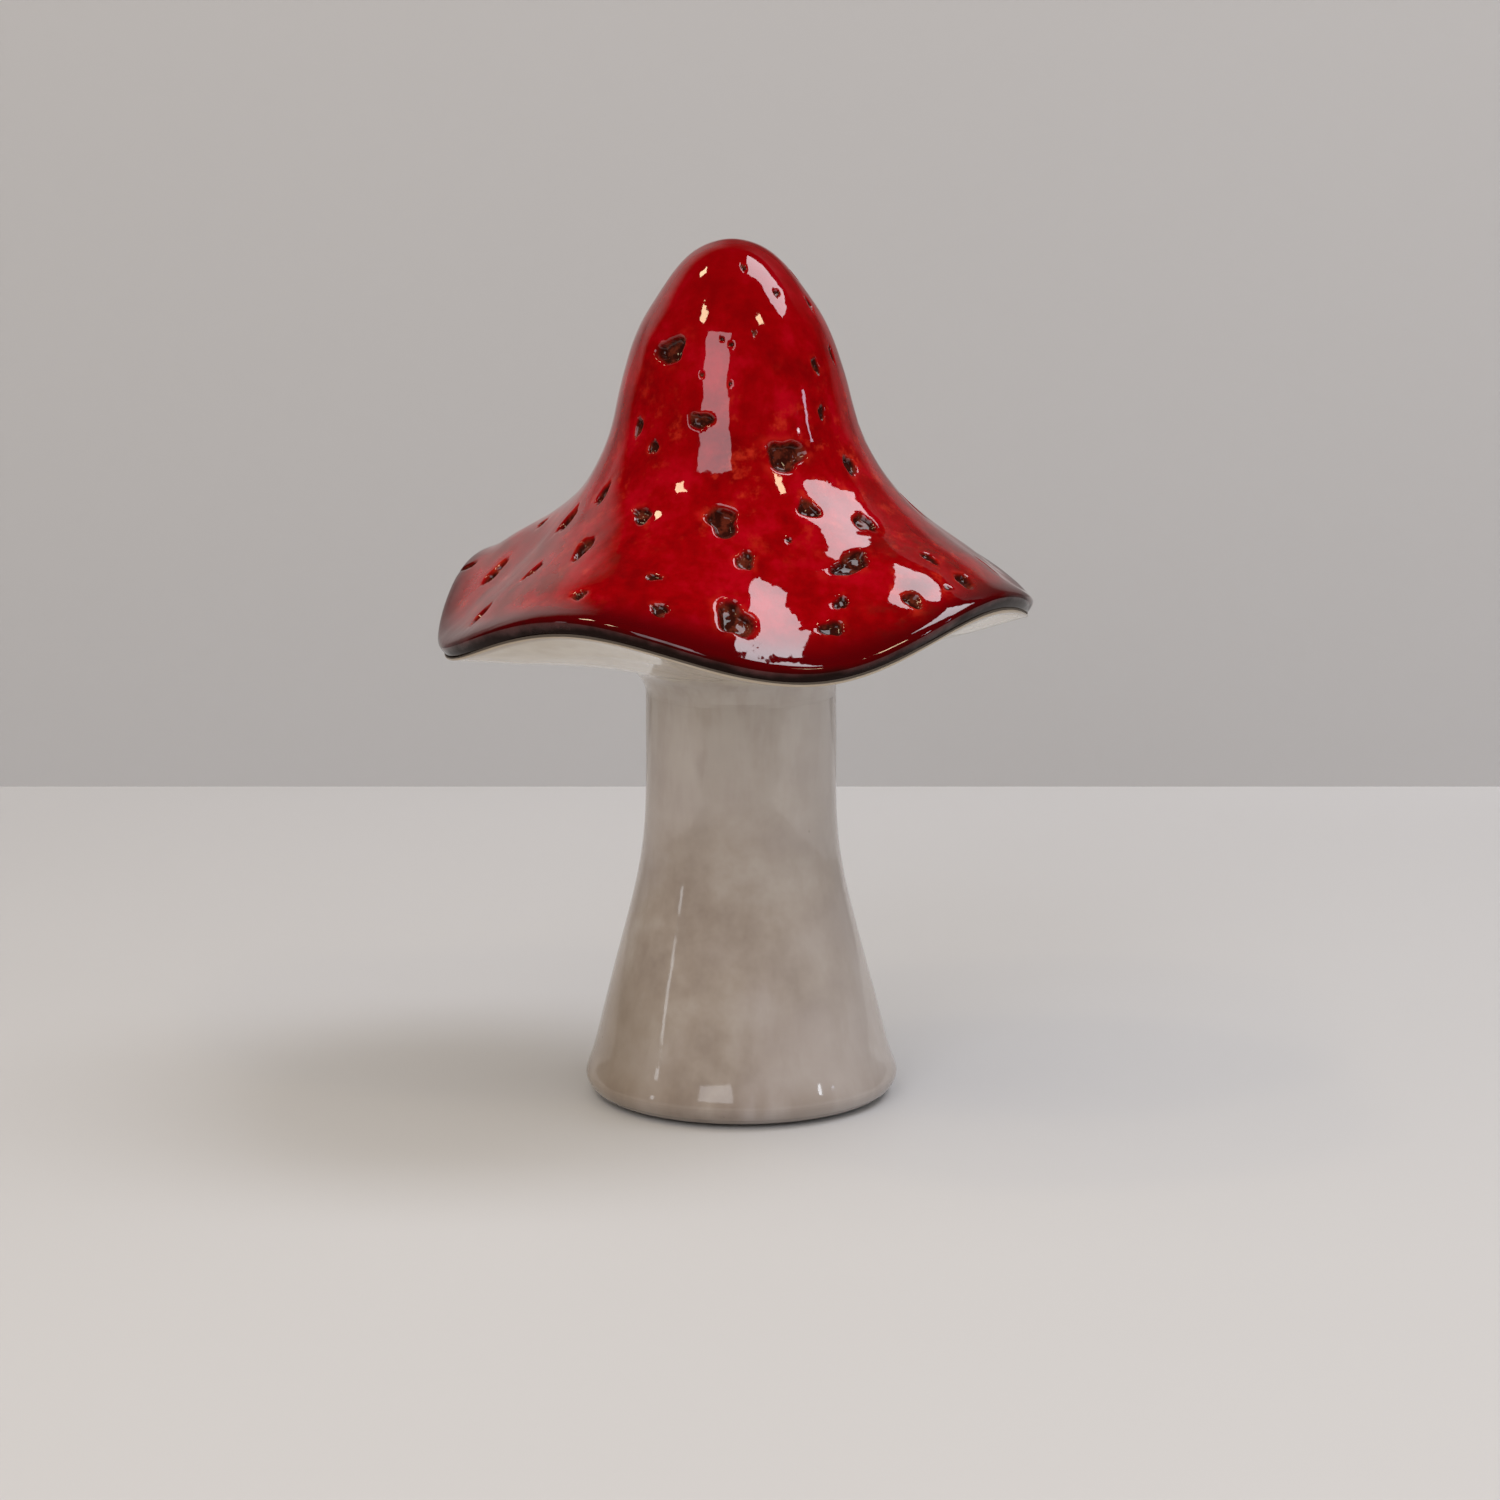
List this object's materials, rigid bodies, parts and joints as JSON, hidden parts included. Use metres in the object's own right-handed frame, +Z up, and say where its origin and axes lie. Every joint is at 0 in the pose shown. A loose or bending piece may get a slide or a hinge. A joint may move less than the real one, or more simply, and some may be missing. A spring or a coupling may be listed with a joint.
{
  "type": "ceramic mushroom ornament",
  "caption": "Glazed earthenware mushroom with a tall bell cap, a rippled brim, a pitted red glaze, a cream underside and a flared stem; it stands on its flat foot.",
  "frame": {"origin": "middle of the foot, on the surface that the ornament stands on", "axes": "+Z up along the stem, -Y towards the side seen in the picture, +X to the right in it"},
  "size_m": [0.158, 0.1556, 0.23],
  "materials": {
    "red_glaze": "glossy, mottled, darker at the rim and in the pits",
    "cream_glaze": "glossy",
    "taupe_glaze": "glossy clear glaze over a cloudy taupe and mauve wash",
    "slip": "matt, fired",
    "felt": "matt felt"
  },
  "bodies": {
    "root": {"cap_shell": "red_glaze", "cap_underside": "cream_glaze", "rim_lute": "slip", "stem": "taupe_glaze", "neck_lute": "slip", "foot_pads": "felt"}
  },
  "joints": []
}
